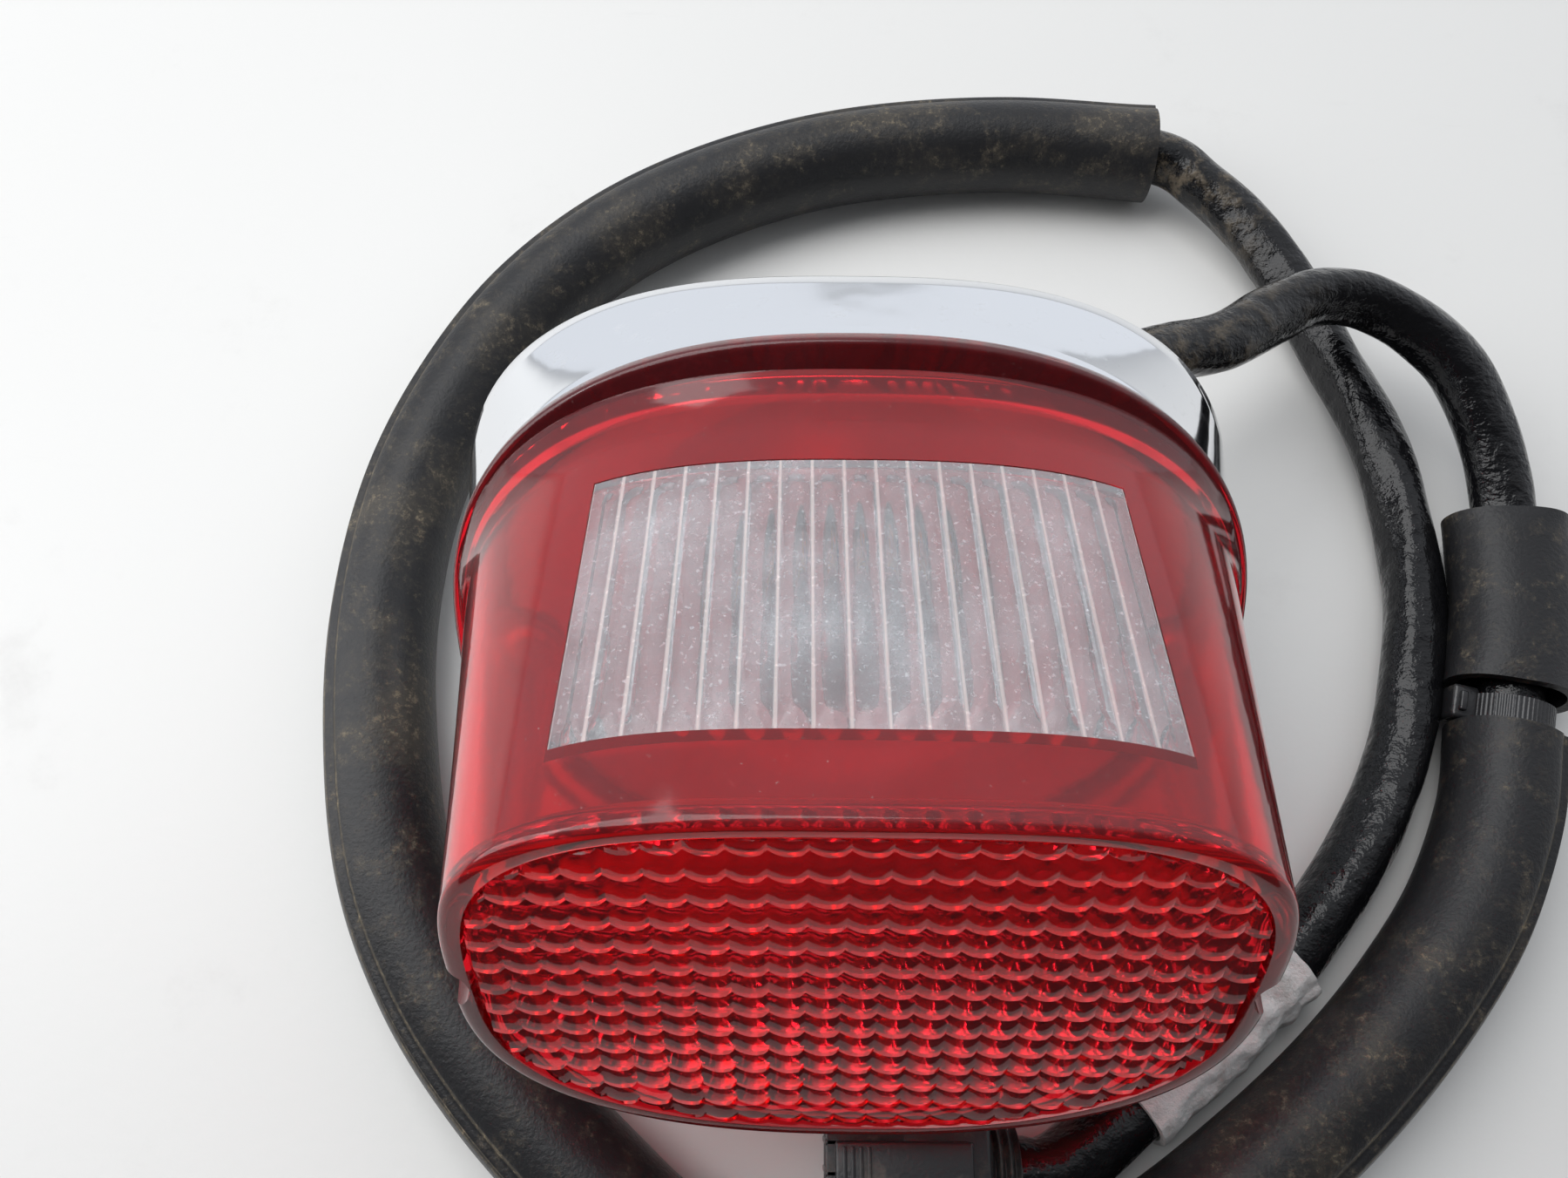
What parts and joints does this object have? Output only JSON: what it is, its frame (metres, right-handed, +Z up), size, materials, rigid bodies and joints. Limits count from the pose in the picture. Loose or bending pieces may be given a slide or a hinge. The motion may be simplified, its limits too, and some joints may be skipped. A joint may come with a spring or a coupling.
{
  "type": "tail light",
  "caption": "Motorcycle tail light with a red prismatic lens, a clear number plate window on top, a chromed pressed base with studs, and a wiring lead with a rubber cover and a plug.",
  "frame": {"origin": "middle of the standing lamp's footprint box, on the surface that it stands on", "axes": "+Z up from the surface, +Y towards the back of the lamp where the studs are, +X to the lens's right as seen from in front of the lens; the lens axis points to -Y and up by 28 degrees"},
  "size_m": [0.247, 0.264, 0.1056],
  "materials": {
    "chrome": "bright chrome plate, dusty",
    "zinc_plate": "zinc plated steel",
    "rubber_black": "moulded black rubber",
    "bright_metal": "vacuum metallised",
    "phenolic": "brown phenolic board",
    "brass": "plain brass",
    "spring_steel": "drawn spring wire",
    "bulb_glass": "clear blown glass",
    "tungsten": "drawn wire and glass bead",
    "red_acrylic": "translucent red moulding, gloss with dust",
    "clear_acrylic": "clear fluted moulding, dusty",
    "screw_chrome": "plated cross-head screw",
    "wire_blue": "extruded insulation",
    "wire_red": "extruded insulation",
    "wire_black": "extruded insulation",
    "pvc_black": "soft black sheath, slightly wrinkled",
    "rubber_dusty": "matt black rubber with tan dust",
    "nylon_black": "moulded black nylon",
    "wrap_white": "plain white sleeving",
    "tin_plate": "tin plated"
  },
  "bodies": {
    "lamp": {"chrome_base": "chrome", "mounting_studs": "zinc_plate", "lens_gasket": "rubber_black", "reflector": "bright_metal", "bulb_socket": "zinc_plate", "socket_rivets": "zinc_plate", "wire_grommet": "rubber_black", "tail_wire": "wire_blue", "stop_wire": "wire_red", "earth_wire": "wire_black", "earth_tag": "brass", "earth_screw": "zinc_plate", "lead_sheath": "pvc_black", "joint_sleeve": "rubber_dusty", "cable_tie": "nylon_black", "rubber_cover": "rubber_dusty", "marker_wrap": "wrap_white", "plug_housing": "nylon_black", "plug_terminals": "tin_plate", "plug_seal": "rubber_black"},
    "lens": {"red_lens": "red_acrylic", "clear_window": "clear_acrylic", "lens_screws": "screw_chrome", "screw_washers": "rubber_black"},
    "bulb": {"bulb_cap": "brass", "bulb_glass": "bulb_glass", "bulb_filaments": "tungsten"},
    "contacts": {"contact_plate": "phenolic", "contact_buttons": "brass", "contact_spring": "spring_steel"},
    "plug_lever": {"plug_lever": "nylon_black"}
  },
  "joints": [
    {"name": "lens_slide", "type": "slide", "parent": "lamp", "child": "lens", "axis": [0, -0.8829, 0.4695], "range_m": [0, 0.11]},
    {"name": "bulb_push", "type": "slide", "parent": "lamp", "child": "bulb", "axis": [0, 0.7193, -0.6947], "range_m": [0, 0.002], "stiffness_N_per_m": 1500, "springref_m": -0.004},
    {"name": "contact_travel", "type": "slide", "parent": "lamp", "child": "contacts", "axis": [0, 0.7193, -0.6947], "range_m": [0, 0.002]},
    {"name": "lever_press", "type": "hinge", "parent": "lamp", "child": "plug_lever", "pos_m": [0.0175, -0.077, 0.0185], "axis": [0, -1, 0], "range_deg": [0, 5], "stiffness_Nm_per_rad": 0.6}
  ],
  "couplings": [
    {"joint": "contact_travel", "follows": "bulb_push", "ratio": 1}
  ]
}
